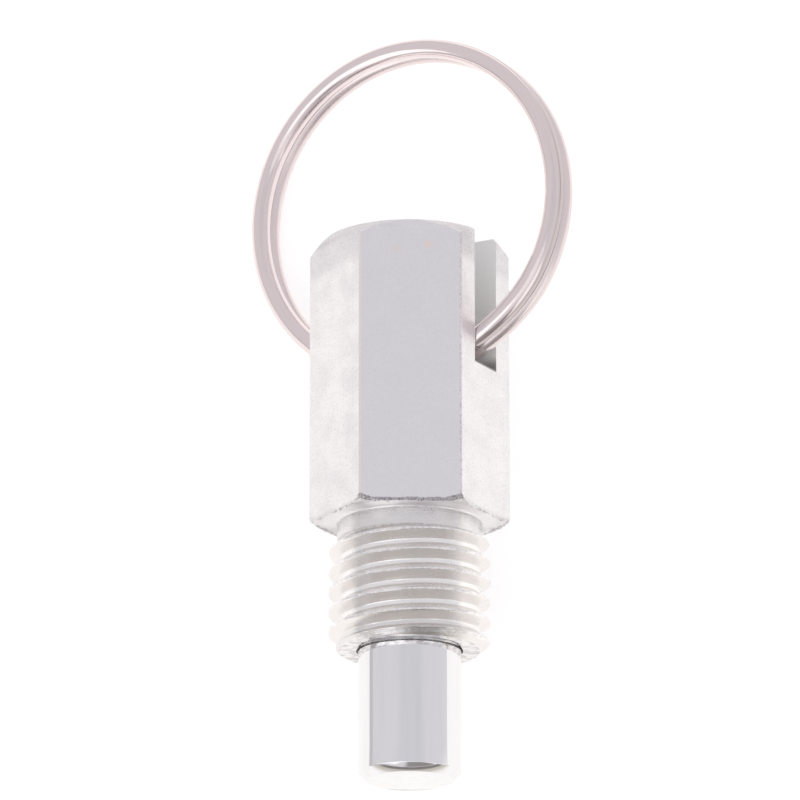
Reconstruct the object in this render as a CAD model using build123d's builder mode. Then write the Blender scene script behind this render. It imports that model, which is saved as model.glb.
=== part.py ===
from build123d import *
from math import cos, radians, sin, sqrt, tan
import os

# Ring locating pin: a spring plunger in a threaded hexagon body, pulled by a split ring.
# It lies on one flat of its hexagon and on the ring's rim, as it comes to rest on a bench.
# +Y runs along its axis towards the ring, +Z is up, and the origin is on the axis
# in the hexagon's seating face, above the thread. Sizes are in millimetres and degrees.

# Hexagon
across_flats = 17.0
hex_length = 28.3
hex_edge_radius = 0.3
top_chamfer_angle = 45.0
underside_radius = 9.15
underside_angle = 30.0

# Threaded shank
shank_length = 12.9
neck_diameter = 14.1
neck_length = 1.9
neck_root_chamfer = 0.2
shoulder_length = 0.45
thread_major = 15.75
thread_pitch = 2.0
thread_depth = 1.1
thread_root_flat = 0.5
thread_flank_angle = 30.0
groove_overcut = 0.1
thread_start = 0.59
end_chamfer = 1.0

# Bore, guide hole and ring slot
bore_diameter = 10.3
bore_edge_break = 0.1
guide_wall = 2.1
guide_clearance = 0.05
slot_width = 4.25
slot_floor = 14.75
slot_turn = 30.0

# Locating pin
pin_diameter = 10.0
pin_reach = 12.8
pin_tip_chamfer = 0.75
pin_head_inside = 6.0
relief_depth = 0.3
relief_beyond_bore = 0.05
land_clearance = 0.05
land_length = 2.0
pin_back_chamfer = 0.3
tail_diameter = 7.0
tail_beyond_hole = 1.5
tail_chamfer = 0.4
ring_hole_diameter = 4.4

# Spring
spring_wire = 0.8
spring_bore_clearance = 0.3
spring_turns = 3.5
spring_wire_sides = 4

# Split ring
ring_outside_diameter = 34.75
wire_diameter = 1.98
wire_sides = 8
turn_gap = 0.02
ring_seat_gap = 0.05
ring_lean = 28.6
ring_swing = 1.7
ring_shift = 0.27
ring_set_back = 0.2
crossover_start = 256.0
crossover_arc = 62.0
crossover_end_gap = 2.0


def across(position):
    # section plane square to the axis, at a distance from the seating face towards the ring
    return Plane(origin=(0, position, 0), x_dir=(1, 0, 0), z_dir=(0, 1, 0))


# Derived sizes
hex_corner = across_flats / 2 / cos(radians(30))
shank_end = -shank_length
pin_tip = shank_end - pin_reach
chamber_end = slot_floor - guide_wall
guide_diameter = tail_diameter + 2 * guide_clearance
head_back = shank_end + pin_head_inside
relief_radius = pin_diameter / 2 - relief_depth
land_radius = bore_diameter / 2 - land_clearance
spring_length = chamber_end - head_back
ring_outer = ring_outside_diameter / 2
ring_middle = ring_outer - wire_diameter / 2

# The ring's outer edge rests on the rim that the guide hole leaves in the slot's floor.
ring_bottom = slot_floor + ring_seat_gap + sqrt(ring_outer**2 - (guide_diameter / 2) ** 2) - ring_outer
ring_hole = ring_bottom + wire_diameter / 2
tail_end = ring_hole + ring_hole_diameter / 2 + tail_beyond_hole

# The slot runs square to one flat, a sixth of a turn off the top flat, and so does the pin's hole.
slot_section = Plane(
    origin=(0, 0, 0),
    x_dir=(sin(radians(slot_turn)), 0, -cos(radians(slot_turn))),
    z_dir=(cos(radians(slot_turn)), 0, sin(radians(slot_turn))),
)


# Body: threaded shank, neck, hexagon, stepped bore and slot
with BuildPart() as body:
    # shank: neck, shoulder, thread's outside and end chamfer
    with BuildSketch(Plane.XY):
        with BuildLine():
            Polyline(
                (0, 0),
                (neck_diameter / 2, 0),
                (neck_diameter / 2, -neck_length),
                (thread_major / 2, -neck_length - shoulder_length),
                (thread_major / 2, shank_end + end_chamfer),
                (thread_major / 2 - end_chamfer, shank_end),
                (0, shank_end),
                close=True,
            )
        make_face()
    revolve(axis=Axis.Y)

    # thread: a groove with sloping flanks, carried down a right-hand helix past the shank's end
    thread_root = thread_major / 2 - thread_depth
    cut_depth = thread_depth + groove_overcut
    groove_half = thread_root_flat / 2 + cut_depth * tan(radians(thread_flank_angle))
    with BuildLine() as groove_path:
        Helix(
            pitch=thread_pitch,
            height=shank_length,
            radius=thread_root,
            center=(0, -thread_start, 0),
            direction=(0, -1, 0),
        )
    with BuildSketch(Plane(origin=groove_path.line @ 0, x_dir=(0, 0, -1), z_dir=(1, 0, 0))):
        with BuildLine():
            Polyline(
                (0, -thread_root_flat / 2),
                (cut_depth, -groove_half),
                (cut_depth, groove_half),
                (0, thread_root_flat / 2),
                close=True,
            )
        make_face()
    sweep(path=groove_path.wire(), is_frenet=True, mode=Mode.SUBTRACT)

    # neck: the groove stops at it, and a small cone joins it to the seating face
    with BuildSketch(Plane.XY):
        with BuildLine():
            Polyline(
                (0, 0),
                (neck_diameter / 2 + neck_root_chamfer, 0),
                (neck_diameter / 2, -neck_root_chamfer),
                (neck_diameter / 2, -neck_length),
                (0, -neck_length),
                close=True,
            )
        make_face()
    revolve(axis=Axis.Y)

    # hexagon bar on top of the neck
    with BuildSketch(across(0)):
        RegularPolygon(radius=across_flats / 2, side_count=6, major_radius=False)
        fillet(vertices(), radius=hex_edge_radius)
    extrude(amount=hex_length)

    # its corners, turned off at the seating face and at the top
    underside_rise = (hex_corner - underside_radius) * tan(radians(underside_angle))
    top_drop = (hex_corner - across_flats / 2) * tan(radians(top_chamfer_angle))
    with BuildSketch(Plane.XY):
        with BuildLine():
            Polyline(
                (underside_radius, 0),
                (hex_corner, 0),
                (hex_corner, underside_rise),
                close=True,
            )
        make_face()
        with BuildLine():
            Polyline(
                (across_flats / 2, hex_length),
                (hex_corner, hex_length),
                (hex_corner, hex_length - top_drop),
                close=True,
            )
        make_face()
    revolve(axis=Axis.Y, mode=Mode.SUBTRACT)

    # bore for the pin's head and the spring, and the guide hole for the tail
    with Locations(Plane.XZ.offset(shank_length)):
        CounterBoreHole(
            radius=guide_diameter / 2,
            counter_bore_radius=bore_diameter / 2,
            counter_bore_depth=shank_length + chamber_end,
        )
    bore_mouth = body.edges().filter_by(GeomType.CIRCLE).group_by(Axis.Y)[0].sort_by(SortBy.RADIUS)[0]
    chamfer(bore_mouth, length=bore_edge_break)

    # slot for the ring, open at the top
    with BuildSketch(slot_section):
        with Locations((0, slot_floor)):
            Rectangle(slot_width, hex_length, align=(Align.CENTER, Align.MIN))
    extrude(amount=hex_corner, both=True, mode=Mode.SUBTRACT)

body.part.label = "body"


# Locating pin: head with a chamfered tip, a relief where it enters the bore and a guiding land
# at its back, thinner tail, and the ring's hole across the tail
with BuildPart() as plunger_pin:
    with BuildSketch(Plane.XY):
        with BuildLine():
            Polyline(
                (0, pin_tip),
                (pin_diameter / 2 - pin_tip_chamfer, pin_tip),
                (pin_diameter / 2, pin_tip + pin_tip_chamfer),
                (pin_diameter / 2, shank_end - relief_beyond_bore),
                (relief_radius, shank_end - relief_beyond_bore),
                (relief_radius, head_back - land_length),
                (land_radius, head_back - land_length),
                (land_radius, head_back - pin_back_chamfer),
                (land_radius - pin_back_chamfer, head_back),
                (tail_diameter / 2, head_back),
                (tail_diameter / 2, tail_end - tail_chamfer),
                (tail_diameter / 2 - tail_chamfer, tail_end),
                (0, tail_end),
                close=True,
            )
        make_face()
    revolve(axis=Axis.Y)
    with BuildSketch(slot_section):
        with Locations((0, ring_hole)):
            Circle(ring_hole_diameter / 2)
    extrude(amount=tail_diameter, both=True, mode=Mode.SUBTRACT)

plunger_pin.part.label = "plunger_pin"


# Spring: wire wound on a helix, its ends ground flat against the head and the bore's shoulder;
# its round section is drawn with a few sides, because it is shut inside the body
with BuildPart() as spring:
    spring_radius = bore_diameter / 2 - spring_bore_clearance - spring_wire / 2
    with BuildLine() as coil:
        Helix(
            pitch=spring_length / spring_turns,
            height=spring_length + 2 * spring_wire,
            radius=spring_radius,
            center=(0, head_back - spring_wire, 0),
            direction=(0, 1, 0),
        )
    with BuildSketch(Plane(origin=coil.line @ 0, x_dir=(0, 0, 1), z_dir=coil.line % 0)):
        RegularPolygon(radius=spring_wire / 2, side_count=spring_wire_sides)
    sweep(path=coil.wire(), is_frenet=True)
    with BuildSketch(across(head_back)):
        Circle(bore_diameter / 2)
    extrude(amount=spring_length, mode=Mode.INTERSECT)

spring.part.label = "spring"


# Split ring: round wire in two turns laid side by side, which cross over once in the slot;
# the wire's round section is drawn with a few sides
lean_normal = Vector(-sin(radians(ring_lean)), 0, cos(radians(ring_lean)))
lean_right = Vector(cos(radians(ring_lean)), 0, sin(radians(ring_lean)))
along_axis = Vector(0, 1, 0)
ring_up = along_axis * cos(radians(ring_swing)) + lean_normal * sin(radians(ring_swing))
ring_normal = lean_normal * cos(radians(ring_swing)) - along_axis * sin(radians(ring_swing))
ring_origin = (
    along_axis * ring_hole
    + ring_up * sqrt(ring_middle**2 - ring_shift**2)
    + lean_right * ring_shift
    - ring_normal * ring_set_back
)
turn_level = (wire_diameter + turn_gap) / 2
turn_arc = 360 - crossover_arc - crossover_end_gap


def crossover_section(share):
    # plane square to the wire, a share of the way over from the back turn to the front turn;
    # the wire's height follows level * (2 * (3 share^2 - 2 share^3) - 1)
    angle = radians(crossover_start + share * crossover_arc)
    outward = lean_right * cos(angle) + ring_up * sin(angle)
    onward = ring_up * cos(angle) - lean_right * sin(angle)
    height = turn_level * (2 * share**2 * (3 - 2 * share) - 1)
    slope = turn_level * 12 * share * (1 - share) / (ring_middle * radians(crossover_arc))
    return Plane(
        origin=ring_origin + outward * ring_middle + ring_normal * height,
        x_dir=outward,
        z_dir=onward + ring_normal * slope,
    )


with BuildPart() as pull_ring:
    # back turn, which runs up to the crossover
    with BuildSketch(crossover_section(0)):
        RegularPolygon(radius=wire_diameter / 2, side_count=wire_sides)
    revolve(axis=Axis(ring_origin, -ring_normal), revolution_arc=turn_arc)

    # front turn, which runs on from it
    with BuildSketch(crossover_section(1)):
        RegularPolygon(radius=wire_diameter / 2, side_count=wire_sides)
    revolve(axis=Axis(ring_origin, ring_normal), revolution_arc=turn_arc)

    # crossover between them
    with BuildSketch(*[crossover_section(share) for share in (0, 0.2, 0.4, 0.6, 0.8, 1)]):
        RegularPolygon(radius=wire_diameter / 2, side_count=wire_sides)
    loft(ruled=True)

pull_ring.part.label = "pull_ring"


os.makedirs("parts", exist_ok=True)
export_step(body.part, "parts/body.step")
export_step(plunger_pin.part, "parts/plunger_pin.step")
export_step(spring.part, "parts/spring.step")
export_step(pull_ring.part, "parts/pull_ring.step")
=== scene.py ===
from math import cos, degrees, pi, radians, sin, sqrt, tan

import bmesh
import bpy
import numpy as np
from mathutils import Matrix, Vector


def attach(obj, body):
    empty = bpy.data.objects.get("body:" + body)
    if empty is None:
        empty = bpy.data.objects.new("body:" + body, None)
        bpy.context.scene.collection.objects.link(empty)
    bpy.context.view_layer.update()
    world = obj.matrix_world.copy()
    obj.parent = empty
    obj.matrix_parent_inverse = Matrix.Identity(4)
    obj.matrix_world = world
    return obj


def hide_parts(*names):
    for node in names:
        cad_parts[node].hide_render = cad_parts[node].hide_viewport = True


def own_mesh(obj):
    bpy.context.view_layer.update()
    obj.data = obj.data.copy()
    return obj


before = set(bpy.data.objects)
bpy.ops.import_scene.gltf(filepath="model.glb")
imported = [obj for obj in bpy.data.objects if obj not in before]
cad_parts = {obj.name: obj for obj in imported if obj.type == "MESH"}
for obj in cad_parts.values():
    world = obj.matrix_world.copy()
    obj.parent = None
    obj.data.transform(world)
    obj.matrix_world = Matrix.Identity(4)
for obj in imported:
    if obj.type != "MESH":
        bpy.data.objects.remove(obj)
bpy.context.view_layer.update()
mm = 0.001  # sizes below are in millimetres, the scene is in metres


viewOfPhoto = {
    "tilt": -16.487,      # degrees, the camera leans back towards the pin's tip
    "turn": 0.536,
    "roll": 0.024,
    "distance": 597.92,   # from the part's origin, along the view
    "scale": 10.2854,     # pixels per millimetre at the origin, in an 800 pixel wide picture
    "shiftRight": 0.9345,
    "shiftUp": -11.9642,
    "sensor": 36.0,
    "pictureWidth": 800,
    "clip": (0.01, 10),   # metres
}


def makeCamera(v):
    # world to camera is a roll about Z, a tilt about X and a turn about Y; its transpose turns the camera
    turned = (
        Matrix.Rotation(radians(v["roll"]), 3, "Z")
        @ Matrix.Rotation(radians(v["tilt"]), 3, "X")
        @ Matrix.Rotation(radians(v["turn"]), 3, "Y")
    )
    back = turned.transposed()
    place = back @ Vector((-v["shiftRight"], -v["shiftUp"], v["distance"])) * mm
    data = bpy.data.cameras.new("photoCamera")
    data.sensor_width = v["sensor"]
    data.lens = v["scale"] * v["distance"] / v["pictureWidth"] * v["sensor"]
    data.clip_start, data.clip_end = v["clip"]
    camera = bpy.data.objects.new("photoCamera", data)
    camera.matrix_world = Matrix.Translation(place) @ back.to_4x4()
    bpy.context.scene.collection.objects.link(camera)
    bpy.context.scene.camera = camera


makeCamera(viewOfPhoto)
bpy.context.scene.view_settings.view_transform = "Standard"
print("camera is set")


class NodeTree:
    # short way to add and wire shader nodes

    def __init__(self, tree):
        self.tree = tree
        self.tree.nodes.clear()

    def add(self, kind, **settings):
        node = self.tree.nodes.new(kind)
        for name, value in settings.items():
            setattr(node, name, value)
        return node

    def put(self, value, socket):
        # wires a socket, or writes a plain value
        if isinstance(value, bpy.types.NodeSocket):
            self.tree.links.new(value, socket)
        elif isinstance(value, tuple) and len(value) == 3 and socket.type == "RGBA":
            socket.default_value = (*value, 1)
        else:
            socket.default_value = value

    def math(self, operation, a, b=0.0, c=0.0, clamp=False):
        node = self.add("ShaderNodeMath", operation=operation, use_clamp=clamp)
        for value, socket in zip((a, b, c), node.inputs):
            self.put(value, socket)
        return node.outputs[0]

    def times(self, first, *others):
        for other in others:
            first = self.math("MULTIPLY", first, other)
        return first

    def rest(self, value):
        return self.math("SUBTRACT", 1.0, value)

    def either(self, switch, yes, no):
        # plain number picked by a mask
        return self.math("MULTIPLY_ADD", switch, yes - no, no)

    def split(self, vector):
        node = self.add("ShaderNodeSeparateXYZ")
        self.put(vector, node.inputs[0])
        return node.outputs

    def step(self, value, low, high, to=1.0, start=0.0):
        # smooth rise from start to the last value between low and high
        node = self.add("ShaderNodeMapRange", interpolation_type="SMOOTHSTEP")
        for item, socket in zip((value, low, high, start, to), node.inputs):
            self.put(item, socket)
        return node.outputs[0]

    def mix(self, share, a, b, blend="MIX"):
        node = self.add("ShaderNodeMix", data_type="RGBA", blend_type=blend)
        for value, socket in zip((share, a, b), (node.inputs[0], node.inputs[6], node.inputs[7])):
            self.put(value, socket)
        return node.outputs[2]

    def dot(self, vector, direction):
        node = self.add("ShaderNodeVectorMath", operation="DOT_PRODUCT")
        self.put(vector, node.inputs[0])
        node.inputs[1].default_value = direction
        return node.outputs["Value"]

    def scaled(self, place, scale=(1, 1, 1), shift=(0, 0, 0)):
        mapping = self.add("ShaderNodeMapping")
        self.put(place, mapping.inputs["Vector"])
        mapping.inputs["Location"].default_value = shift
        mapping.inputs["Scale"].default_value = scale
        return mapping.outputs[0]

    def noise(self, place, scale, detail=2.0, rough=0.5):
        node = self.add("ShaderNodeTexNoise")
        for value, name in ((place, "Vector"), (scale, "Scale"), (detail, "Detail"), (rough, "Roughness")):
            self.put(value, node.inputs[name])
        return node.outputs["Fac"]

    def group(self, tree, **values):
        node = self.add("ShaderNodeGroup", node_tree=tree)
        for name, value in values.items():
            self.put(value, node.inputs[name])
        return node.outputs


studio = {
    "floorHeight": -9.29,            # the ring's rim, the lowest point of the part
    "floorSize": 1600.0,
    "floorColour": (0.86, 0.86, 0.86),
    "floorGlow": 0.47,               # what the camera sees added to the floor's own shade
    "mirrorGlow": 0.87,              # what the metal sees added, and how much of the shade it keeps
    "mirrorShade": 0.25,
    "sheetTint": (1.03, 1.005, 0.995),
    "sheetLeft": -62.0,              # the white sheet ends here, as the metal sees it
    "sheetSoft": 4.0,
    "sheetFront": (-40.0, -66.0),    # it fades out between these, and gives way to the dark ones further on
    "darkFront": (-74.0, -112.0),
    "darkLean": 0.15,                # sideways run of the dark zone's middle for each step to the front
    "darkSpread": (1.0, 0.6),        # its half width for each step to the front, where it begins and is full
    "darkNear": 10.0,
    "beyondLeft": (0.56, 0.55, 0.56),
    "beyondFront": (0.60, 0.565, 0.50),
    "beyondDark": (0.22, 0.205, 0.20),
    "domeTop": (0.66, 0.655, 0.69),
    "topHeight": (0.80, 0.95),       # sines of the elevations between which the top's tone begins
    "domeSides": (0.715, 0.70, 0.73),
    "horizonColour": (0.56, 0.54, 0.53),
    "horizonHeight": 0.024,
    "belowHeight": -0.01,            # the dome is white below this
    # soft-edged fields of the dome: azimuth from -Y towards +X, half its width, softness,
    # lowest and highest elevation, softness, all in degrees, then the tone
    "fields": [
        (-20, 62, 30, 56, 84, 14, (0.92, 0.91, 0.92)),
        (15, 20, 8, -14, 37, 12, (0.30, 0.285, 0.28)),
        (66, 30, 26, -20, 12, 30, (1.02, 1.02, 1.02)),
        (47, 12, 10, 4, 46, 14, (1.08, 1.08, 1.08)),
        (-43, 25, 9, 8, 71, 10, (1.30, 1.30, 1.30)),
        (-70, 20, 20, -20, 4, 12, (0.50, 0.49, 0.50)),
    ],
}


def makeFloor(s):
    # the metal sees a white sheet that ends at the left and at the front of the part
    half = s["floorSize"] / 2 * mm
    z = s["floorHeight"] * mm
    mesh = bpy.data.meshes.new("floor")
    corners = [(-half, -half, z), (half, -half, z), (half, half, z), (-half, half, z)]
    mesh.from_pydata(corners, [], [(0, 1, 2, 3)])
    floor = bpy.data.objects.new("floor", mesh)
    bpy.context.scene.collection.objects.link(floor)
    material = bpy.data.materials.new("floorPaper")
    material.use_nodes = True
    n = NodeTree(material.node_tree)
    light = n.add("ShaderNodeLightPath")
    mirrored = light.outputs["Is Glossy Ray"]
    seen = n.math("MAXIMUM", light.outputs["Is Camera Ray"], mirrored)
    seen = n.math("MAXIMUM", seen, light.outputs["Is Transmission Ray"])
    place = n.split(n.add("ShaderNodeTexCoord").outputs["Object"])
    across, along = place["X"], place["Y"]
    left = n.step(across, s["sheetLeft"] * mm, (s["sheetLeft"] - s["sheetSoft"]) * mm)
    front = n.step(along, s["sheetFront"][0] * mm, s["sheetFront"][1] * mm)
    # the dark zone widens with the distance, like the dome's dark patch behind it
    aside = n.math("ABSOLUTE", n.math("MULTIPLY_ADD", along, s["darkLean"], across))
    aside = n.math("DIVIDE", aside, n.math("MAXIMUM", n.times(along, -1.0), s["darkNear"] * mm))
    dark = n.times(
        n.step(along, s["darkFront"][0] * mm, s["darkFront"][1] * mm), n.step(aside, *s["darkSpread"])
    )
    tone = n.mix(front, s["sheetTint"], s["beyondFront"])
    tone = n.mix(left, tone, s["beyondLeft"])
    tone = n.mix(dark, tone, s["beyondDark"])
    tone = n.mix(mirrored, (1.0, 1.0, 1.0), tone)
    shade = n.mix(n.times(mirrored, 1 - s["mirrorShade"]), s["floorColour"], (0.0, 0.0, 0.0))
    paper = n.add("ShaderNodeBsdfDiffuse")
    n.put(n.mix(1.0, shade, tone, "MULTIPLY"), paper.inputs["Color"])
    glow = n.add("ShaderNodeEmission")
    n.put(tone, glow.inputs["Color"])
    strength = n.either(mirrored, s["mirrorGlow"], s["floorGlow"])
    n.put(n.times(seen, strength), glow.inputs["Strength"])
    both = n.add("ShaderNodeAddShader")
    n.put(paper.outputs[0], both.inputs[0])
    n.put(glow.outputs[0], both.inputs[1])
    out = n.add("ShaderNodeOutputMaterial")
    n.put(both.outputs[0], out.inputs["Surface"])
    mesh.materials.append(material)


def makeWorld(s):
    # grey dome with soft-edged lighter and darker fields
    world = bpy.data.worlds.new("studioDome")
    bpy.context.scene.world = world
    world.use_nodes = True
    n = NodeTree(world.node_tree)
    direction = n.split(n.add("ShaderNodeTexCoord").outputs["Generated"])
    height = direction["Z"]
    azimuth = n.math("ARCTAN2", direction["X"], n.times(direction["Y"], -1.0))
    elevation = n.math("ARCSINE", height)
    tone = n.mix(n.step(height, *s["topHeight"]), s["domeSides"], s["domeTop"])
    tone = n.mix(n.step(height, 0.0, s["horizonHeight"]), s["horizonColour"], tone)
    for middle, half, soft, lowest, highest, softUp, fieldTone in s["fields"]:
        aside = n.math("ABSOLUTE", n.math("SUBTRACT", azimuth, radians(middle)))
        share = n.step(aside, radians(half + soft / 2), radians(half - soft / 2))
        above = n.step(elevation, radians(lowest - softUp / 2), radians(lowest + softUp / 2))
        below = n.step(elevation, radians(highest + softUp / 2), radians(highest - softUp / 2))
        tone = n.mix(n.times(above, below, share), tone, fieldTone)
    tone = n.mix(n.step(height, 0.0, s["belowHeight"]), tone, (1.0, 1.0, 1.0))
    background = n.add("ShaderNodeBackground")
    n.put(tone, background.inputs["Color"])
    background.inputs["Strength"].default_value = 1.0
    out = n.add("ShaderNodeOutputWorld")
    n.put(background.outputs[0], out.inputs["Surface"])


makeFloor(studio)
makeWorld(studio)
print("floor and dome are made")


def newGroup(name, inputs, outputs):
    # shader node group with named sockets; gives its tree, a way to add to it, and the sockets of its
    # input and output nodes
    tree = bpy.data.node_groups.new(name, "ShaderNodeTree")
    for kind, label, value in inputs:
        socket = tree.interface.new_socket(label, in_out="INPUT", socket_type="NodeSocket" + kind)
        if value is not None:
            socket.default_value = value
    for kind, label in outputs:
        tree.interface.new_socket(label, in_out="OUTPUT", socket_type="NodeSocket" + kind)
    n = NodeTree(tree)
    return tree, n, n.add("NodeGroupInput").outputs, n.add("NodeGroupOutput").inputs


def makeClouds():
    # slow light and dark patches, and finer ones inside them
    tree, n, given, wanted = newGroup(
        "plateClouds",
        [("Vector", "Place", None), ("Float", "Coarse", 180.0), ("Float", "Fine", 1500.0),
         ("Float", "Low", 0.36), ("Float", "High", 0.64)],
        [("Float", "Patches"), ("Float", "Grain")],
    )
    coarse = n.noise(given["Place"], given["Coarse"], detail=2.0, rough=0.5)
    fine = n.noise(given["Place"], given["Fine"], detail=3.0, rough=0.6)
    coarseShare = 0.65
    patches = n.math("MULTIPLY_ADD", coarse, coarseShare, n.times(fine, 1 - coarseShare))
    n.put(n.step(patches, given["Low"], given["High"]), wanted["Patches"])
    n.put(fine, wanted["Grain"])
    return tree


def makeSpecks():
    # small scattered marks: the cells of a Voronoi pattern whose middles are picked at random
    tree, n, given, wanted = newGroup(
        "fineSpecks",
        [("Vector", "Place", None), ("Float", "Scale", 5000.0), ("Float", "Size", 0.3),
         ("Float", "Share", 0.2)],
        [("Float", "Marks")],
    )
    cells = n.add("ShaderNodeTexVoronoi")
    n.put(given["Place"], cells.inputs["Vector"])
    n.put(given["Scale"], cells.inputs["Scale"])
    picked = n.add("ShaderNodeSeparateColor")
    n.put(cells.outputs["Color"], picked.inputs[0])
    chosen = n.math("LESS_THAN", picked.outputs[0], given["Share"])
    near = n.step(cells.outputs["Distance"], given["Size"], 0.0)
    n.put(n.times(chosen, near), wanted["Marks"])
    return tree


def makeStreaks():
    # long thin marks along one axis: a noise stretched along it
    tree, n, given, wanted = newGroup(
        "longStreaks",
        [("Vector", "Place", None), ("Float", "Scale", 1.0), ("Float", "Low", 0.35), ("Float", "High", 0.65)],
        [("Float", "Streaks"), ("Float", "Height")],
    )
    fine = n.noise(given["Place"], given["Scale"], detail=3.0, rough=0.6)
    n.put(n.step(fine, given["Low"], given["High"]), wanted["Streaks"])
    n.put(fine, wanted["Height"])
    return tree


cloudGroup = makeClouds()
speckGroup = makeSpecks()
streakGroup = makeStreaks()


def startMetal(name, rough):
    material = bpy.data.materials.new(name)
    material.use_nodes = True
    n = NodeTree(material.node_tree)
    shader = n.add("ShaderNodeBsdfPrincipled")
    shader.inputs["Metallic"].default_value = 1.0
    shader.inputs["Roughness"].default_value = rough
    out = n.add("ShaderNodeOutputMaterial")
    n.put(shader.outputs[0], out.inputs["Surface"])
    return material, n, shader


def bump(n, height, distance, strength=1.0, after=None):
    node = n.add("ShaderNodeBump")
    n.put(height, node.inputs["Height"])
    node.inputs["Distance"].default_value = distance * mm
    node.inputs["Strength"].default_value = strength
    if after is not None:
        n.put(after, node.inputs["Normal"])
    return node.outputs[0]


zincPlate = {
    "colour": (0.935, 0.922, 0.93),
    "darker": (0.875, 0.865, 0.878),
    "patchShare": 0.75,         # how far the patches go to the darker tone
    "patchSize": 3.0,
    "patchFine": 1600.0,
    "rough": 0.34,
    "roughVary": 0.10,
    "frontHeight": 8.4,         # the flat that faces up lies above this
    "shankFade": (0.0, -0.4),   # heights between which the shank's finish begins, and the bar's
    "barFade": (-0.2, 0.0),
    "grainScale": 5200.0,
    "grainRange": (0.42, 0.66),
    "grainTone": (0.80, 0.78, 0.77),
    "grainSides": 0.50,
    "grainFront": 0.18,         # the same on the flat that faces up
    "specks": {"Scale": 3400.0, "Size": 0.42, "Share": 0.22},
    "speckTone": (0.55, 0.53, 0.52),
    "speckSides": 0.55,
    "speckFront": 0.22,
    "rag": {"Scale": 2300.0, "Low": 0.42, "High": 0.56},      # what breaks up the painted highlight on the thread's crest
    "chips": {"Scale": 7000.0, "Low": 0.46, "High": 0.62},    # the same for the bar's edges
    "chipStretch": (1, 0.6, 1),
    "edgeRadii": (9.725, 9.755),         # between these the bar's corners begin, which carry the painted highlight and the wear
    "edgeSides": (-1.0, 1.0),   # from the left ones' look to the right ones'
    "edgeTone": (0.68, 0.665, 0.68),
    # painted warm highlight along the left corners, and how much of it
    "edgeHighlightPainted": (0.98, 0.90, 0.84),
    "highlightShare": 0.8,
    "seatRadius": 9.15,         # the corners are turned off from here at the seating face
    "seatAngle": 30.0,
    "seatLine": (0.14, 0.06),   # heights over the seating face's edge between which its dark line begins
    "seatBelow": -0.13,
    "seatInner": 8.42,
    "seatRag": 0.35,
    "seatBroken": 0.5,
    "seatUpper": 8.2,           # below this height the dark line is faint
    "seatFaint": 0.15,
    "seatDark": (0.24, 0.23, 0.24),
    "slotAngle": 30.0,
    "slotHalf": 2.15,           # the slot's walls lie nearer to its middle plane than this
    "slotSoft": 0.05,
    "slotBottom": 14.6,
    "slotTone": (0.975, 0.98, 0.96),
    "slotMetal": 0.05,
    "slotRough": 0.5,
    "slotShadePainted": (0.42, 0.41, 0.40),      # painted shade on its lowest part, under the ring
    "slotDeepTop": 16.4,
    "slotDeepSoft": 1.2,
    "stainTone": (0.97, 0.83, 0.74),
    "stainWobble": 1.6,         # shares of a stain's size
    "stainFade": (2.0, 0.7),
    # x, y, size, strength on the front flat
    "stains": [(1.75, 25.75, 0.55, 0.9), (-1.35, 25.2, 0.8, 0.45)],
    "topZone": (24.0, 25.5),    # the sides are rougher above these heights
    "topRough": 0.25,
    "threadTint": (0.86, 0.845, 0.835),
    "threadTop": -2.35,
    "threadUv": -1.0,           # the uv on the end face and in the bore is less than this
    "threadRough": 0.24,
    # places over one pitch, from the middle of the root, between which each painted band of light or shade
    # begins and ends
    "flankPhase": (1.08, 1.16, 1.70, 1.84),
    "flankReflectionPainted": (0.91, 0.885, 0.86),    # painted reflection on the flanks that face the pin's tip
    "flankMiddleReflectionPainted": (0.79, 0.755, 0.71),  # darker painted reflection where the thread faces up, up to this far from the axis
    "flankReach": 4.6,
    "flankSoft": 1.5,
    "crestPhase": (0.80, 0.90, 1.10, 1.20),
    # painted highlight on the crests
    "crestHighlightPainted": (0.99, 0.97, 0.97),
    "rootPhase": (0.12, 0.28, 1.70, 1.86),
    # painted highlight on the roots
    "rootHighlightPainted": (0.99, 0.98, 0.97),
    "rootEnd": (-11.4, -11.1),  # nearer to the end the roots get no painted highlight
    "endFace": (-12.86, -12.89),
    "endScale": (1.1, 0.9, 1.0),
    "endRange": (0.40, 0.60),
    "endReflectionPainted": (0.62, 0.60, 0.61),
    "endRough": 0.10,
    "pitDepth": 0.6,
    "grainBump": (0.02, 0.5),   # distance, strength
    "turnedScale": (0.2, 9.0, 1.0),
    "turnedBump": (0.04, 0.7),
}


def zincPlaces(n, f):
    # where a point of the body lies, in metres from the axis and the seating face, and masks of its zones
    place = n.add("ShaderNodeTexCoord").outputs["Object"]
    parts = n.split(place)
    fromAxis = n.add("ShaderNodeVectorMath", operation="LENGTH")
    n.put(n.scaled(place, (1, 0, 1)), fromAxis.inputs[0])
    lean = radians(f["slotAngle"])
    fromSlot = n.math("ABSOLUTE", n.dot(place, (-sin(lean), 0, cos(lean))))
    return {
        "place": place,
        "across": parts["X"],
        "along": parts["Y"],
        "up": parts["Z"],
        "uv": n.add("ShaderNodeUVMap", uv_map="turned").outputs[0],
        "fromAxis": fromAxis.outputs["Value"],
        "front": n.math("GREATER_THAN", parts["Z"], f["frontHeight"] * mm),
        "shank": n.step(parts["Y"], f["shankFade"][0] * mm, f["shankFade"][1] * mm),
        "bar": n.step(parts["Y"], f["barFade"][0] * mm, f["barFade"][1] * mm),
        "slot": n.times(
            n.step(fromSlot, (f["slotHalf"] + f["slotSoft"]) * mm, f["slotHalf"] * mm),
            n.math("GREATER_THAN", parts["Y"], f["slotBottom"] * mm),
        ),
        "end": n.step(parts["Y"], f["endFace"][0] * mm, f["endFace"][1] * mm),
    }


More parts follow.
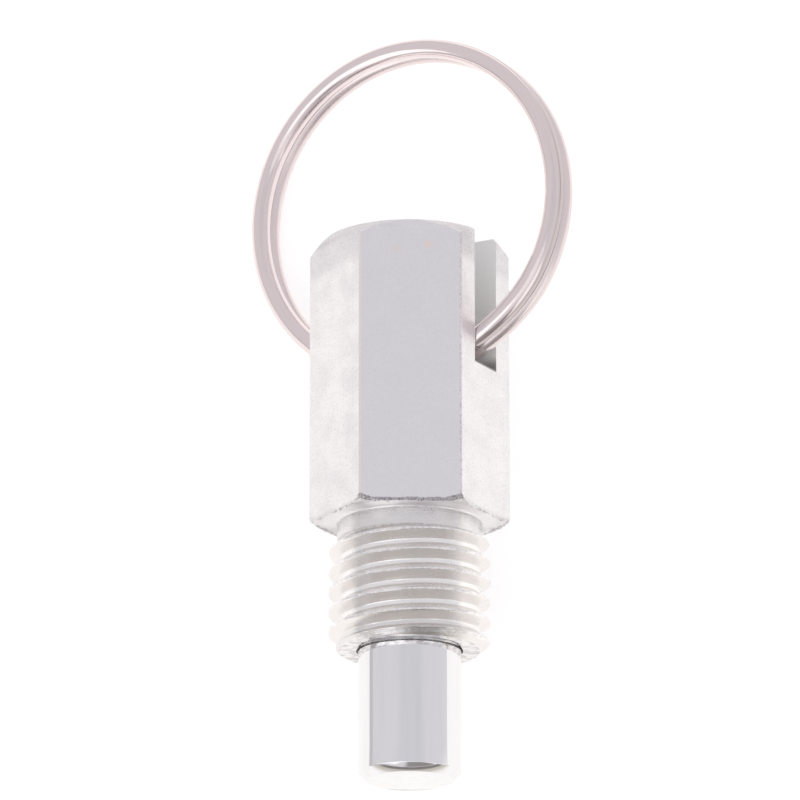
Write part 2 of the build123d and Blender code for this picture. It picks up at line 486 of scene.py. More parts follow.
def threadPaintedLight(n, f, tone, at, rag):
    # the uv's second value runs over one pitch from the middle of the root, in millimetres
    phase = n.split(at["uv"])["Y"]
    threaded = n.times(
        n.math("LESS_THAN", at["along"], f["threadTop"] * mm), n.math("GREATER_THAN", phase, f["threadUv"])
    )

    def band(begin, full, fade, end):
        return n.times(n.step(phase, begin, full), n.step(phase, end, fade))

    flank = band(*f["flankPhase"])
    crest = n.times(band(*f["crestPhase"]), rag)
    leave, gone, begin, full = f["rootPhase"]
    root = n.math("ADD", n.step(phase, gone, leave), n.step(phase, begin, full))
    root = n.times(root, n.step(at["along"], f["rootEnd"][0] * mm, f["rootEnd"][1] * mm))
    fromMiddle = n.math("ABSOLUTE", at["across"])
    middle = n.times(
        flank, n.step(fromMiddle, f["flankReach"] * mm, (f["flankReach"] - f["flankSoft"]) * mm),
        n.math("GREATER_THAN", at["up"], 0.0),
    )
    # painted light: reflections on the flanks, darker in the middle where they face up, and highlights on the
    # roots and crests
    paintedLightBands = (flank, "flankReflectionPainted"), (middle, "flankMiddleReflectionPainted"), (root, "rootHighlightPainted"), (crest, "crestHighlightPainted")
    for share, tint in paintedLightBands:
        tone = n.mix(n.times(share, threaded), tone, f[tint])
    return tone


def slotTones(n, f, tone, at):
    tone = n.mix(at["slot"], tone, f["slotTone"])
    # painted shade on the slot's lowest part, under the ring; the ring doesn't mirror it, so that its lower
    # turn stays light in the slot's mouth
    deep = n.step(at["along"], f["slotDeepTop"] * mm, (f["slotDeepTop"] - f["slotDeepSoft"]) * mm)
    deep = n.times(deep, n.rest(n.add("ShaderNodeLightPath").outputs["Is Glossy Ray"]))
    return n.mix(n.times(at["slot"], deep), tone, f["slotShadePainted"])


def edgeTones(n, f, tone, at, grain):
    # corners of the bar: a painted warm highlight along the left ones, dark worn chips broken up along the
    # right ones
    begin, full = f["edgeRadii"]
    corner = n.times(n.step(at["fromAxis"], begin * mm, full * mm), at["bar"])
    right = n.step(at["across"], f["edgeSides"][0] * mm, f["edgeSides"][1] * mm)
    chips = n.group(streakGroup, Place=n.scaled(at["place"], f["chipStretch"]), **f["chips"])["Streaks"]
    tone = n.mix(n.times(corner, n.either(right, 0.0, f["highlightShare"])), tone, f["edgeHighlightPainted"])
    tone = n.mix(n.times(corner, right, chips), tone, f["edgeTone"])
    # ragged lower edge: height over y = (r - c) * tan(angle), the edge left by the turned corners
    edgeHeight = n.times(
        n.math("SUBTRACT", at["fromAxis"], f["seatRadius"] * mm), tan(radians(f["seatAngle"]))
    )
    over = n.math("SUBTRACT", at["along"], n.math("MAXIMUM", edgeHeight, 0.0))
    over = n.math("MULTIPLY_ADD", grain, -f["seatRag"] * mm, over)
    ragged = n.times(
        n.step(over, f["seatLine"][0] * mm, f["seatLine"][1] * mm),
        n.math("GREATER_THAN", at["along"], f["seatBelow"] * mm),
        n.math("GREATER_THAN", at["fromAxis"], f["seatInner"] * mm),
        n.either(n.math("GREATER_THAN", at["up"], f["seatUpper"] * mm), 1.0, f["seatFaint"]),
        n.either(chips, 1.0, f["seatBroken"]),
    )
    return n.mix(ragged, tone, f["seatDark"])


def stainTones(n, f, tone, at, grain):
    outer, inner = f["stainFade"]
    for x, y, size, strength in f["stains"]:
        away = n.add("ShaderNodeVectorMath", operation="DISTANCE")
        n.put(n.scaled(at["place"], (1, 1, 0)), away.inputs[0])
        away.inputs[1].default_value = (x * mm, y * mm, 0)
        wobble = n.math("MULTIPLY_ADD", grain, size * f["stainWobble"] * mm, away.outputs["Value"])
        stain = n.step(wobble, size * outer * mm, size * inner * mm)
        tone = n.mix(n.times(stain, at["front"], strength), tone, f["stainTone"])
    return tone


def zincFinish(f):
    material, n, shader = startMetal("zincPlate", f["rough"])
    at = zincPlaces(n, f)
    place = at["place"]
    clouds = n.group(cloudGroup, Place=place, Coarse=1000 / f["patchSize"], Fine=f["patchFine"])
    rag = n.group(streakGroup, Place=place, **f["rag"])["Streaks"]
    specks = n.group(speckGroup, Place=place, **f["specks"])["Marks"]
    tone = n.mix(n.times(clouds["Patches"], f["patchShare"]), f["colour"], f["darker"])
    grain = n.step(n.noise(place, f["grainScale"], detail=1.0), *f["grainRange"])
    grain = n.times(grain, n.either(at["front"], f["grainFront"], f["grainSides"]))
    tone = n.mix(grain, tone, f["grainTone"])
    tone = n.mix(at["shank"], tone, f["threadTint"])
    tone = threadPaintedLight(n, f, tone, at, rag)
    speckShare = n.times(n.either(at["front"], f["speckFront"], f["speckSides"]), at["bar"])
    tone = n.mix(n.times(specks, speckShare), tone, f["speckTone"])
    tone = slotTones(n, f, tone, at)
    tone = edgeTones(n, f, tone, at, clouds["Grain"])
    tone = stainTones(n, f, tone, at, clouds["Grain"])
    # painted reflection: dark patches on the end face
    patches = n.step(n.noise(n.scaled(at["uv"], f["endScale"]), 1.0, detail=1.0), *f["endRange"])
    tone = n.mix(n.times(at["end"], patches), tone, f["endReflectionPainted"])
    n.put(tone, shader.inputs["Base Color"])
    n.put(n.either(at["slot"], f["slotMetal"], 1.0), shader.inputs["Metallic"])
    rough = n.math("MULTIPLY_ADD", clouds["Patches"], f["roughVary"], f["rough"] - f["roughVary"] / 2)
    rough = n.math("MULTIPLY_ADD", at["shank"], f["threadRough"] - f["rough"], rough)
    rough = n.math("MULTIPLY_ADD", at["end"], f["endRough"] - f["threadRough"], rough)
    rough = n.math("MULTIPLY_ADD", at["slot"], f["slotRough"] - f["rough"], rough)
    upper = n.times(n.step(at["along"], f["topZone"][0] * mm, f["topZone"][1] * mm), n.rest(at["front"]))
    n.put(n.math("MULTIPLY_ADD", upper, f["topRough"], rough), shader.inputs["Roughness"])
    pits = n.math("MULTIPLY_ADD", specks, -f["pitDepth"], clouds["Grain"])
    turned = n.group(streakGroup, Place=n.scaled(at["uv"], f["turnedScale"]), Scale=1.0)["Height"]
    lines = n.times(turned, at["shank"], n.rest(at["end"]))
    n.put(bump(n, lines, *f["turnedBump"], after=bump(n, pits, *f["grainBump"])), shader.inputs["Normal"])
    return material


groundSteel = {
    "colour": (0.90, 0.90, 0.91),
    "streakTone": (0.83, 0.82, 0.83),
    "streakShare": 0.5,
    "streakStretch": (1, 0.06, 1),
    "streaks": {"Scale": 1100.0, "Low": 0.4, "High": 0.75},
    "clouds": {"Coarse": 300.0, "Fine": 2500.0},
    "rough": 0.05,
    "roughVary": 0.05,
    "grainBump": (0.002, 0.5),
}


def steelFinish(f):
    material, n, shader = startMetal("groundSteel", f["rough"])
    place = n.add("ShaderNodeTexCoord").outputs["Object"]
    streaks = n.group(streakGroup, Place=n.scaled(place, f["streakStretch"]), **f["streaks"])["Streaks"]
    clouds = n.group(cloudGroup, Place=place, **f["clouds"])
    tone = n.mix(n.times(streaks, f["streakShare"]), f["colour"], f["streakTone"])
    n.put(tone, shader.inputs["Base Color"])
    rough = n.math("MULTIPLY_ADD", clouds["Patches"], f["roughVary"], f["rough"])
    n.put(rough, shader.inputs["Roughness"])
    n.put(bump(n, clouds["Grain"], *f["grainBump"]), shader.inputs["Normal"])
    return material


ringNickel = {
    "colour": (0.875, 0.78, 0.775),
    "streakTone": (0.80, 0.71, 0.705),
    "streakShare": 0.5,
    "streakScale": (0.35, 0.086, 1.0),
    "streaks": {"Scale": 1.0, "Low": 0.45, "High": 0.8},
    "clouds": {"Coarse": 260.0, "Fine": 1800.0},
    "rimHighlightPainted": (0.99, 0.96, 0.96),     # painted highlight that the wire's far sides fade to
    "edgeFacing": (0.55, 0.9),
    # painted shade on the upper turn's outer side and where the turns meet
    "creviceShadePainted": (0.17, 0.15, 0.15),
    "outerCosine": (0.84, 0.95),         # of the angle round the upper turn, where its painted shade begins
    "outerEdge": 0.9,                    # how much of the painted rim highlight it takes away
    "outerShare": 0.42,
    "crevice": (270.0, 333.0, 340.0),    # degrees round the upper turn, from where the turns touch
    "creviceShare": 0.35,
    "creviceNear": 0.95,                 # the same near the slot
    "nearSlot": (101.0, 93.0),           # length along the wire where that begins and is full
    "rough": 0.08,
    "roughVary": (-0.02, 0.04),
    "backRough": 0.24,                   # the turn that lies under the other one
    "turnMiddle": 78.0,                  # length along the wire at which the crossover is half done
    "waveScale": 420.0,
    "waveBump": (0.04, 0.6),
    "streakBump": (0.006, 0.6),
}


def nickelFinish(f):
    material, n, shader = startMetal("ringNickel", f["rough"])
    uv = n.add("ShaderNodeUVMap", uv_map="wire").outputs[0]
    place = n.add("ShaderNodeTexCoord").outputs["Object"]
    streaks = n.group(streakGroup, Place=n.scaled(uv, f["streakScale"]), **f["streaks"])
    tone = n.mix(n.times(streaks["Streaks"], f["streakShare"]), f["colour"], f["streakTone"])
    facing = n.add("ShaderNodeLayerWeight")
    facing.inputs["Blend"].default_value = 0.5
    # the uv is the length along the wire and the degrees round it, from the ring's outside
    parts = n.split(uv)
    length, around = parts["X"], parts["Y"]
    lower = n.math("LESS_THAN", length, f["turnMiddle"])
    upper = n.rest(lower)
    # painted shade on the upper turn's outer side, where it lies over the lower turn; the painted rim
    # highlight is taken off there
    outer = n.times(n.step(n.math("COSINE", n.math("RADIANS", around)), *f["outerCosine"]), upper)
    edge = n.step(facing.outputs["Facing"], *f["edgeFacing"])
    edge = n.times(edge, n.math("MULTIPLY_ADD", outer, -f["outerEdge"], 1.0))
    tone = n.mix(edge, tone, f["rimHighlightPainted"])
    tone = n.mix(n.times(outer, f["outerShare"]), tone, f["creviceShadePainted"])
    # painted shade where it meets the lower turn
    begin, fade, end = f["crevice"]
    crevice = n.times(n.step(around, end, fade), n.math("GREATER_THAN", around, begin), upper)
    share = n.step(length, *f["nearSlot"], to=f["creviceNear"], start=f["creviceShare"])
    tone = n.mix(n.times(crevice, share), tone, f["creviceShadePainted"])
    n.put(tone, shader.inputs["Base Color"])
    patches = n.group(cloudGroup, Place=place, **f["clouds"])["Patches"]
    least, most = f["roughVary"]
    rough = n.math("MULTIPLY_ADD", patches, most - least, f["rough"] + least)
    rough = n.math("MULTIPLY_ADD", lower, f["backRough"] - f["rough"], rough)
    n.put(rough, shader.inputs["Roughness"])
    waves = bump(n, n.noise(place, f["waveScale"], detail=2.0), *f["waveBump"])
    n.put(bump(n, streaks["Height"], *f["streakBump"], after=waves), shader.inputs["Normal"])
    return material


springSteel = {
    "colour": (0.55, 0.54, 0.53),
    "streakTone": (0.42, 0.41, 0.40),
    "streakScale": (0.4, 6.0, 1.0),
    "rough": 0.3,
    "roughVary": 0.1,
    "streakBump": (0.01, 0.5),
}


def springFinish(f):
    material, n, shader = startMetal("springSteel", f["rough"])
    uv = n.add("ShaderNodeUVMap", uv_map="wire").outputs[0]
    streaks = n.group(streakGroup, Place=n.scaled(uv, f["streakScale"]), Scale=1.0)
    n.put(n.mix(streaks["Streaks"], f["colour"], f["streakTone"]), shader.inputs["Base Color"])
    rough = n.math("MULTIPLY_ADD", streaks["Streaks"], f["roughVary"], f["rough"])
    n.put(rough, shader.inputs["Roughness"])
    n.put(bump(n, streaks["Height"], *f["streakBump"]), shader.inputs["Normal"])
    return material


zinc, steel = zincFinish(zincPlate), steelFinish(groundSteel)
nickel, wireSteel = nickelFinish(ringNickel), springFinish(springSteel)
print("finishes are made")


def gridPart(points, uv):
    # quads over a grid of points whose columns close on themselves;
    # uv has one more column than points, so that the pattern runs on over the closing quad
    rows, columns = points.shape[:2]
    r = np.arange(rows - 1)[:, None]
    c = np.arange(columns)[None, :]
    d = (c + 1) % columns
    faces = np.stack([r * columns + c, r * columns + d, (r + 1) * columns + d, (r + 1) * columns + c], -1)
    corners = np.stack([uv[r, c], uv[r, c + 1], uv[r + 1, c + 1], uv[r + 1, c]], -2)
    return points.reshape(-1, 3), faces.reshape(-1, 4), corners.reshape(-1, 4, 2)


mergeWithin, leastArea = 0.0015 * mm, 1e-14  # closer points are one, smaller faces are dropped


def plainUv(rows, columns, high=1.0, wide=1.0):
    # uv that runs from 0 to high down the rows and from 0 to wide round the columns
    r, c = np.meshgrid(np.linspace(0, high, rows), np.linspace(0, wide, columns + 1), indexing="ij")
    return np.stack([r, c], -1)


def sharpen(mesh, angle):
    mesh.polygons.foreach_set("use_smooth", np.ones(len(mesh.polygons), dtype=bool))
    mesh.set_sharp_from_angle(angle=radians(angle))


def makePiece(name, parts, material, uvName, extra=None, sharp=35):
    # one object from several grids, in millimetres, and a mesh in metres that is closed by itself;
    # doubles merged, faces outward, edges over the angle kept sharp
    points, faces, corners, count = [], [], [], 0
    for p, f, u in parts:
        points.append(p)
        faces.append(f + count)
        corners.append(u)
        count += len(p)
    points, faces, corners = np.concatenate(points) * mm, np.concatenate(faces), np.concatenate(corners)
    mesh = bpy.data.meshes.new(name)
    mesh.vertices.add(len(points))
    mesh.vertices.foreach_set("co", points.ravel())
    mesh.loops.add(faces.size)
    mesh.loops.foreach_set("vertex_index", faces.ravel().astype(np.int32))
    mesh.polygons.add(len(faces))
    mesh.polygons.foreach_set("loop_start", np.arange(0, faces.size, 4, dtype=np.int32))
    mesh.update(calc_edges=True)
    mesh.uv_layers.new(name=uvName).data.foreach_set("uv", corners.ravel())
    b = bmesh.new()
    b.from_mesh(mesh)
    bmesh.ops.remove_doubles(b, verts=b.verts, dist=mergeWithin)
    flat = [f for f in b.faces if f.calc_area() < leastArea]
    bmesh.ops.delete(b, geom=flat, context="FACES_ONLY")
    b.to_mesh(mesh)
    b.free()
    sharpen(mesh, sharp)
    b = bmesh.new()
    b.from_mesh(mesh)
    if extra is not None:
        b.from_mesh(extra)
    bmesh.ops.recalc_face_normals(b, faces=b.faces)
    print(name, "has", len(b.faces), "faces and", sum(not e.is_manifold for e in b.edges), "open edges")
    b.to_mesh(mesh)
    b.free()
    mesh.update()
    piece = bpy.data.objects.new(name, mesh)
    bpy.context.scene.collection.objects.link(piece)
    piece.data.materials.clear()
    piece.data.materials.append(material)
    return piece


copyAngle = 12  # degrees, sharper than this stays an edge in a copy


def cutCopy(node, atY):
    # copy of a node's mesh above a height, merged, and closed again with a flat ring or disc
    b = bmesh.new()
    b.from_mesh(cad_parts[node].data)
    bmesh.ops.remove_doubles(b, verts=b.verts, dist=mergeWithin / 3)
    bmesh.ops.bisect_plane(
        b, geom=b.verts[:] + b.edges[:] + b.faces[:], dist=1e-8,
        plane_co=(0, atY * mm, 0), plane_no=(0, 1, 0), clear_inner=True,
    )
    rim = [e for e in b.edges if e.is_boundary]
    if node == "body":
        made = bmesh.ops.bridge_loops(b, edges=rim)
    else:
        made = bmesh.ops.contextual_create(b, geom=rim)
    if not made["faces"]:
        print("cut of", node, "stayed open")
    mesh = bpy.data.meshes.new(node + "Copy")
    b.to_mesh(mesh)
    b.free()
    sharpen(mesh, copyAngle)
    return mesh


def smoothNoise(count, knots, seed):
    # smooth closed random line of values from -1 to 1, with a number of waves
    values = np.random.default_rng(seed).uniform(-1, 1, knots)
    at = np.linspace(0, knots, count, endpoint=False)
    low = at.astype(int) % knots
    share = at - np.floor(at)
    share = share * share * (3 - 2 * share)
    return values[low] * (1 - share) + values[(low + 1) % knots] * share


ringShape = {
    "outsideDiameter": 34.57,
    "wireDiameter": 1.87,
    "turnGap": 0.13,
    "lean": 28.6,
    "swing": 1.7,
    "shift": 0.27,              # the ring's middle stands this far to the right of the hole,
    "setBack": 0.2,             # and this far below it
    "holeHeight": 15.46,
    "crossoverStart": 256.0,
    "crossoverArc": 32.0,
    "slotMiddle": 290.0,        # here both turns shift sideways a little, into the middle of the body's slot
    "slotShift": 0.37,
    "shiftReach": 38.0,         # degrees to either side, and how many of them it takes to fade
    "shiftFade": 26.0,
    "endGap": 2.0,
    "endEdge": 0.14,
    "stepsAlong": 900,
    "stepsRound": 40,
}


def ringWire(r):
    # round wire carried round twice: height over the ring's middle plane level * (2 * (3 s^2 - 2 s^3) - 1),
    # s running from 0 to 1 over the crossover. The uv is the length along the wire and the degrees round it
    middle = r["outsideDiameter"] / 2 - r["wireDiameter"] / 2
    level = (r["wireDiameter"] + r["turnGap"]) / 2
    turn = 360 - r["crossoverArc"] - r["endGap"]
    first, last = r["crossoverStart"] - turn, r["crossoverStart"] + r["crossoverArc"] + turn
    edge = degrees(r["endEdge"] / middle)
    # ends cut flat, their edge rounded: share of the edge's length, share of the wire's radius
    ending = np.array([(0, 0), (0, 0.55), (0, 0.86), (0.3, 0.94), (0.65, 0.985), (1, 1)])
    angle = np.radians(np.concatenate([
        first + ending[:, 0] * edge,
        np.linspace(first + edge, last - edge, r["stepsAlong"])[1:-1],
        (last - ending[:, 0] * edge)[::-1],
    ]))
    size = np.concatenate([ending[:, 1], np.ones(r["stepsAlong"] - 2), ending[::-1, 1]])
    share = np.clip((angle - radians(r["crossoverStart"])) / radians(r["crossoverArc"]), 0, 1)
    height = level * (2 * share**2 * (3 - 2 * share) - 1)
    aside = np.abs((np.degrees(angle) - r["slotMiddle"] + 180) % 360 - 180)
    share = np.clip((r["shiftReach"] - aside) / r["shiftFade"], 0, 1)
    height = height + r["slotShift"] * share**2 * (3 - 2 * share)
    lean, swing = radians(r["lean"]), radians(r["swing"])
    leanNormal = np.array([-sin(lean), 0, cos(lean)])
    right = np.array([cos(lean), 0, sin(lean)])
    along = np.array([0.0, 1.0, 0.0])
    up = along * cos(swing) + leanNormal * sin(swing)
    normal = leanNormal * cos(swing) - along * sin(swing)
    centre = (
        along * r["holeHeight"] + up * sqrt(middle**2 - r["shift"] ** 2)
        + right * r["shift"] - normal * r["setBack"]
    )
    outward = np.cos(angle)[:, None] * right + np.sin(angle)[:, None] * up
    spine = centre + outward * middle + height[:, None] * normal
    around = np.linspace(0, 2 * pi, r["stepsRound"], endpoint=False)
    radius = r["wireDiameter"] / 2 * size[:, None, None]
    points = spine[:, None, :] + radius * (
        np.cos(around)[None, :, None] * outward[:, None, :] + np.sin(around)[None, :, None] * normal
    )
    uv = np.stack(np.meshgrid(
        angle * middle, np.linspace(0, 360, r["stepsRound"] + 1), indexing="ij"
    ), -1)
    piece = makePiece("pullRing", [gridPart(points, uv)], nickel, "wire", sharp=30)
    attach(piece, "ring")
    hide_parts("pull_ring")
    return piece


ringWire(ringShape)
print("pull ring is made")


shankShape = {
    "topCut": -0.12,            # the hexagon above this is the solid's own, the shank below it is made here
    "rootRadius": 7.25,         # cone that joins the neck to the seating face
    "rootDrop": -0.2,
    "neckRadius": 7.05,
    "neckEnd": -1.9,
    "shoulderEnd": -2.35,
    "crestRadius": 7.875,
    "shankEnd": -12.9,
    "endChamfer": 1.0,
    "boreRadius": 5.15,
    "boreEdge": 0.1,
    "boreEase": 0.3,            # share of that edge by which its middle lies off the corner
    "innerUv": (40.0, -10.0),   # span round and start of the uv on the end face and in the bore
    "pitch": 2.0,
    "threadDepth": 1.1,
    "rootFlat": 0.5,
    "flankAngle": 30.0,
    "threadStart": 0.59,
    "turnsBefore": 1.5,         # the grid begins this far before the thread's start
    "rootCurve": 0.22,          # the root's corners are rounded over this width
    "curveDepth": 0.45,         # from this share of the thread's depth on
    "curveSteps": 9,
    "burrHeight": 0.015,
    "burrMargin": 0.02,         # the crest's burr begins this far below it
    "burrWaves": (2, 9),        # steps to one wave of the two lines that make it up
    "burrMix": 0.6,
    "stepsRound": 180,
    "stepsPerPitch": 44,
}


def threadRadius(phase, s):
    # radius over one pitch, phase 0 in the middle of the root: flat root, flanks, flat crest,
    # its corners eased by averaging the profile over a short window
    half = s["rootFlat"] / 2 / s["pitch"]
    reach = s["rootCurve"] / 2 / s["pitch"]
    rise = s["threadDepth"] * tan(radians(s["flankAngle"])) / s["pitch"]
    root, crest = s["crestRadius"] - s["threadDepth"], s["crestRadius"]
    places = [0, half, half + rise, 1 - half - rise, 1 - half, 1]
    heights = [root, root, crest, crest, root, root]
    total = 0
    window = np.linspace(-1, 1, s["curveSteps"])
    for offset in window:
        total = total + np.interp((phase + offset * reach) % 1, places, heights)
    eased = total / len(window)
    sharp = np.interp(phase % 1, places, heights)
    deep = (crest - sharp) / s["threadDepth"]
    return np.where(deep > s["curveDepth"], eased, sharp)


def shankParts(s):
    # thread: each row of the helix grid is one step round, its columns run over one pitch. Point (i, j)
    # lies at angle t(i) and y = -start - (t / 2 pi + 1 / 4) * pitch - p(j), as the thread starts a quarter
    # turn before +X. Both ends are cut off square. The radius is the thread's profile, or the neck's,
    # the shoulder's or the chamfer's where that is less
    n, pitch = s["stepsRound"], s["pitch"]
    columns = s["stepsPerPitch"]
    turns = int(np.ceil((-s["shankEnd"] + pitch) / pitch)) + 2
    total = n * turns
    t = (np.arange(total + 1) / n - s["turnsBefore"]) * 2 * pi
    p = np.linspace(0, pitch, columns, endpoint=False)
    tGrid, pGrid = np.meshgrid(t, p, indexing="ij")
    groove = -s["threadStart"] - (tGrid / (2 * pi) + 0.25) * pitch
    y = np.clip(groove - pGrid, s["shankEnd"], s["topCut"])
    phase = (groove - y) / pitch
    chamferTop = s["shankEnd"] + s["endChamfer"]
    envelopeY = [s["shankEnd"], chamferTop, s["shoulderEnd"], s["neckEnd"], s["rootDrop"], 0]
    envelopeR = [s["crestRadius"] - s["endChamfer"], s["crestRadius"], s["crestRadius"],
                 s["neckRadius"], s["neckRadius"], s["rootRadius"]]
    envelope = np.interp(y, envelopeY, envelopeR)
    thread = threadRadius(phase, s)
    aboveNeck = y > s["neckEnd"]
    radius = np.where(aboveNeck, envelope, np.minimum(thread, envelope))
    onCrest = (thread > s["crestRadius"] - s["burrMargin"]) & ~aboveNeck & (y > chamferTop)
    fast, slow = (total // waves for waves in s["burrWaves"])
    burr = smoothNoise(total + 1, fast, 11) + s["burrMix"] * smoothNoise(total + 1, slow, 12)
    burr = np.abs(burr)[:, None]
    radius = radius + onCrest * burr * s["burrHeight"]
    points = np.stack([radius * np.cos(tGrid), y, radius * np.sin(tGrid)], -1)
    # quads along the helix; the last column meets the first one of the next turn
    i = np.arange(total - n)[:, None]
    j = np.arange(columns)[None, :]
    here = i * columns + j
    onward = np.where(j + 1 < columns, here + 1, (i + n) * columns)
    faces = np.stack([here, here + columns, onward + columns, onward], -1).reshape(-1, 4)
    u, v = t * s["crestRadius"], np.append(p, pitch)
    sides = [(i, j), (i + 1, j), (i + 1, j + 1), (i, j + 1)]
    corners = np.stack([np.stack(np.broadcast_arrays(u[a], v[b]), -1) for a, b in sides], -2)
    corners = corners.reshape(-1, 4, 2)
    outside = (points.reshape(-1, 3), faces, corners)
    # end face, bore's edge, bore and the flat ring at the cut; its first row lies on the thread's last points
    angle = np.arange(n) / n * 2 * pi
    endPhase = (-s["threadStart"] - s["shankEnd"]) / pitch - 0.25 - angle / (2 * pi)
    rim = np.minimum(threadRadius(endPhase, s), s["crestRadius"] - s["endChamfer"])
    bore, edge, end = s["boreRadius"], s["boreEdge"], s["shankEnd"]
    off = edge * s["boreEase"]
    rows = [
        (rim, end), (bore + edge, end), (bore + off, end + off), (bore, end + edge),
        (bore, s["topCut"]), (np.interp(s["topCut"], envelopeY, envelopeR), s["topCut"]),
    ]
    inner = np.stack([
        np.stack([r * np.cos(angle), np.full(n, h), r * np.sin(angle)], -1) for r, h in rows
    ])
    # the uv runs on below the thread's own, by the length along the profile
    run = np.array([(np.mean(r), h) for r, h in rows])
    run = np.append(0, np.cumsum(np.hypot(*np.diff(run, axis=0).T)))
    uv = np.stack(np.meshgrid(np.linspace(0, s["innerUv"][0], n + 1), s["innerUv"][1] - run), -1)
    return [outside, gridPart(inner, uv)]


hexShape = {
    "acrossFlats": 17.0,
    "cornerRadius": 9.15,       # the corners are turned off from here at the seating face
    "cornerAngle": 30.0,
    "burrReach": 0.96,          # share of the flat's width
    "burrWidth": 0.15,
    "burrNoise": 0.75,
    "burrWaves": (3, 8),
    "burrMix": 0.6,
    "burrMiddle": 0.5,
    "burrLimits": (0.08, 1.4),
    "burrSink": (0.08, 0.36),   # shares of its radius that it sits lower and further in
    "burrFlat": 0.8,
    "stepsRound": 8,
    "steps": 200,
}


def burrParts(h):
    # thin uneven burr along the lower edge of each flat: a small tube whose radius wanders along the edge.
    # The edge rises as y = (sqrt(x^2 + f^2) - c) * tan(angle) where the turned corner cuts it
    flat = h["acrossFlats"] / 2
    reach = flat * tan(radians(30)) * h["burrReach"]
    x = np.linspace(-reach, reach, h["steps"])
    y = np.maximum(0, (np.sqrt(x**2 + flat**2) - h["cornerRadius"]) * tan(radians(h["cornerAngle"])))
    around = np.linspace(0, 2 * pi, h["stepsRound"], endpoint=False)
    fast, slow = (h["steps"] // waves for waves in h["burrWaves"])
    down, inward = h["burrSink"]
    parts = []
    for k in range(6):
        wander = smoothNoise(h["steps"], fast, 40 + k) + h["burrMix"] * smoothNoise(h["steps"], slow, 60 + k)
        radius = h["burrWidth"] * np.clip(h["burrMiddle"] + h["burrNoise"] * wander, *h["burrLimits"])
        radius[0] = radius[-1] = 0
        radius = radius[:, None]
        up = y[:, None] + radius * (np.sin(around) - down)
        out = flat + radius * (np.cos(around) * h["burrFlat"] - inward)
        turn = k * pi / 3
        points = np.stack([
            x[:, None] * cos(turn) + out * sin(turn), up, out * cos(turn) - x[:, None] * sin(turn)
        ], -1)
        parts.append(gridPart(points, plainUv(h["steps"], h["stepsRound"])))
    return parts


body = makePiece(
    "hexBody", shankParts(shankShape) + burrParts(hexShape), zinc, "turned",
    extra=cutCopy("body", shankShape["topCut"]),
)
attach(body, "housing")
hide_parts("body")
print("body is made")


pinShape = {
    "tip": -25.7,
    "radius": 5.0,
    "chamfer": 0.75,
    "edge": 0.05,
    "easing": (0.4, 0.7, (0.2, 0.1)),    # shares of that edge by which its points lie off the chamfer
    "reliefTop": -12.95,
    "reliefRadius": 4.7,
    "landBottom": -8.9,
    "landRadius": 5.1,
    "headBack": -6.9,
    "backChamfer": 0.3,
    "tailRadius": 3.5,
    "cut": 9.0,                 # the tail above this, with its cross hole, is the solid's own
    "stepLength": 1.5,
    "stepsRound": 192,
    "uvSpan": 30.0,
}


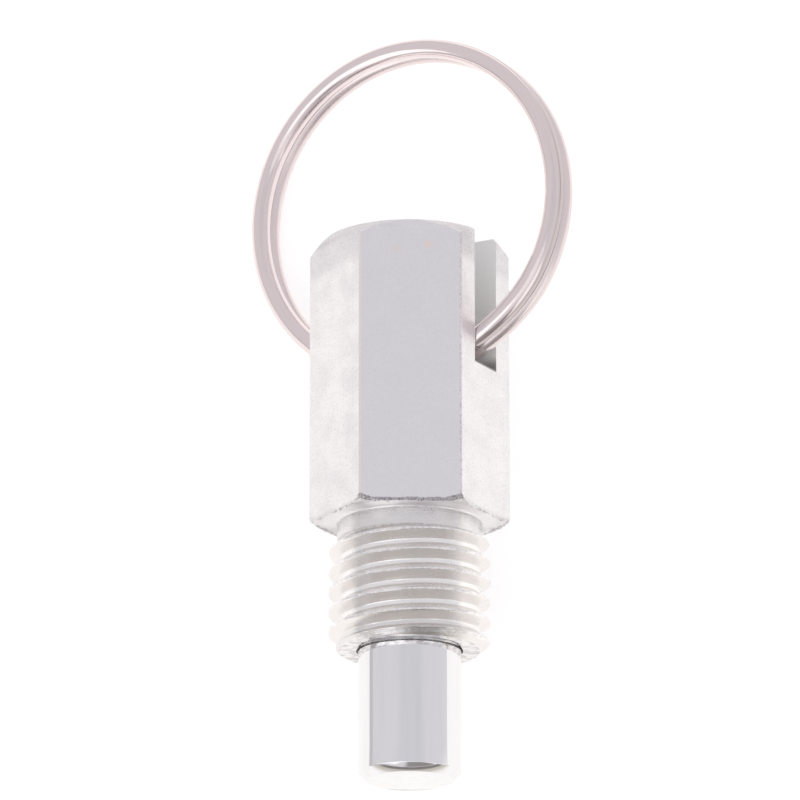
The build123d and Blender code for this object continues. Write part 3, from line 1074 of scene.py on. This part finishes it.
def pinParts(p):
    # profile turned round the axis; its corners are rounded by a short straight edge
    e, f, r, tip = p["edge"], p["chamfer"], p["radius"], p["tip"]
    land = p["landRadius"]
    first, second, (inward, down) = p["easing"]
    profile = np.array([
        (0, tip), (r - f - e, tip), (r - f + e * first, tip + e * first),
        (r - e * second, tip + f - e * second), (r - e * inward, tip + f - e * down), (r, tip + f + e),
        (r, p["reliefTop"] - e), (r - e, p["reliefTop"]),
        (p["reliefRadius"], p["reliefTop"]), (p["reliefRadius"], p["landBottom"]),
        (land, p["landBottom"]), (land, p["headBack"] - p["backChamfer"]),
        (land - p["backChamfer"], p["headBack"]), (p["tailRadius"], p["headBack"]),
        (p["tailRadius"], p["cut"]), (0, p["cut"]),
    ])
    # long smooth stretches are divided, so that their quads stay short
    fine = [profile[:1]]
    for a, b in zip(profile[:-1], profile[1:]):
        count = max(1, int(np.hypot(*(b - a)) / p["stepLength"]))
        fine.append(a + (b - a) * (np.arange(1, count + 1) / count)[:, None])
    profile = np.concatenate(fine)
    angle = np.arange(p["stepsRound"]) / p["stepsRound"] * 2 * pi
    points = np.stack([
        profile[:, 0, None] * np.cos(angle), profile[:, 1, None] * np.ones(len(angle)),
        profile[:, 0, None] * np.sin(angle),
    ], -1)
    return [gridPart(points, plainUv(len(profile), len(angle), p["uvSpan"], p["uvSpan"]))]


pin = makePiece(
    "locatingPin", pinParts(pinShape), steel, "turned",
    extra=cutCopy("plunger_pin", pinShape["cut"]), sharp=30,
)
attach(pin, "plunger")
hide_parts("plunger_pin")
print("pin is made")


springShape = {
    "low": -6.9,
    "high": 12.65,
    "wire": 0.8,
    "radius": 4.45,
    "turns": 3.5,
    "travel": 14.0,             # what the pin's full stroke takes off its length
    "uvSpan": 100.0,
    "stepsAlong": 700,
    "stepsRound": 20,
}


def springCoil(s):
    # wire along a helix that runs past both ends by half a wire, cut flat there as if ground: beyond an end
    # plane, at distance d from the wire's middle, the section is a chord of half length sqrt(w^2 / 4 - d^2)
    length, half = s["high"] - s["low"], s["wire"] / 2
    along = np.linspace(s["low"] - half, s["high"] + half, s["stepsAlong"])
    turn = (along - s["low"] + s["wire"]) / length * s["turns"] * 2 * pi
    outward = np.stack([np.cos(turn), np.zeros_like(turn), np.sin(turn)], -1)
    spine = outward * s["radius"] + np.stack([0 * along, along, 0 * along], -1)
    around = np.linspace(0, 2 * pi, s["stepsRound"], endpoint=False)
    high = np.clip(along[:, None] + half * np.sin(around), s["low"], s["high"])
    past = np.maximum(0, np.maximum(s["low"] - along, along - s["high"]))
    chord = np.sqrt(np.maximum(0, half**2 - past**2))[:, None]
    wide = np.clip(half * np.cos(around)[None, :], -chord, chord)
    points = spine[:, None, :] + wide[:, :, None] * outward[:, None, :]
    points[..., 1] = high
    uv = plainUv(len(along), len(around), s["uvSpan"], pi * s["wire"])
    piece = makePiece("coilSpring", [gridPart(points, uv)], wireSteel, "wire")
    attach(piece, "housing")
    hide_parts("spring")
    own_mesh(piece)
    return piece


springCoil(springShape)
print("spring is made")
